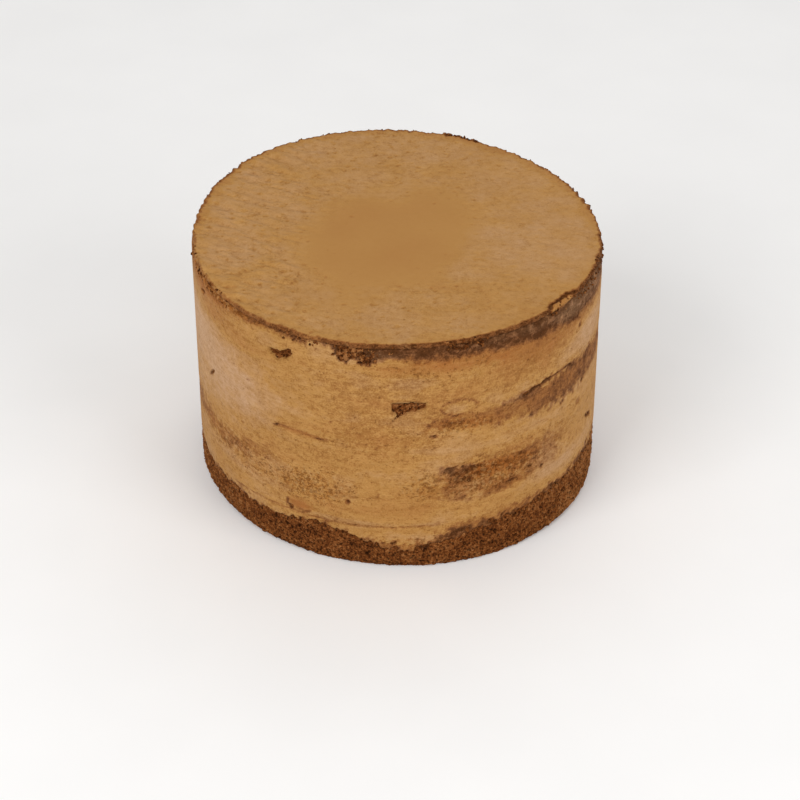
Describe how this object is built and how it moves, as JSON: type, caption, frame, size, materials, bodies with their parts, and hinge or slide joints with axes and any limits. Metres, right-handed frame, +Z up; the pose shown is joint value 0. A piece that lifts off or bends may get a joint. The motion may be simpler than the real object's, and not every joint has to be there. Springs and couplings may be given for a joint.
{
  "type": "chocolate naked cake",
  "caption": "Tall round layer cake of cocoa sponge and chocolate cream, with a smooth cream top and a thin scraped cream coat that shows the sponge.",
  "frame": {"origin": "centre of the base, on the surface that the cake stands on", "axes": "+Z up; -Y is the side that the picture shows"},
  "size_m": [0.1796, 0.1807, 0.118],
  "materials": {
    "sponge": "matt, open cocoa crumb",
    "cream": "soft satin chocolate cream, scraped smooth"
  },
  "bodies": {
    "root": {"sponge_1": "sponge", "filling_1": "cream", "sponge_2": "sponge", "filling_2": "cream", "sponge_3": "sponge", "filling_3": "cream", "sponge_4": "sponge", "top_cream": "cream", "side_coat": "cream"}
  },
  "joints": []
}
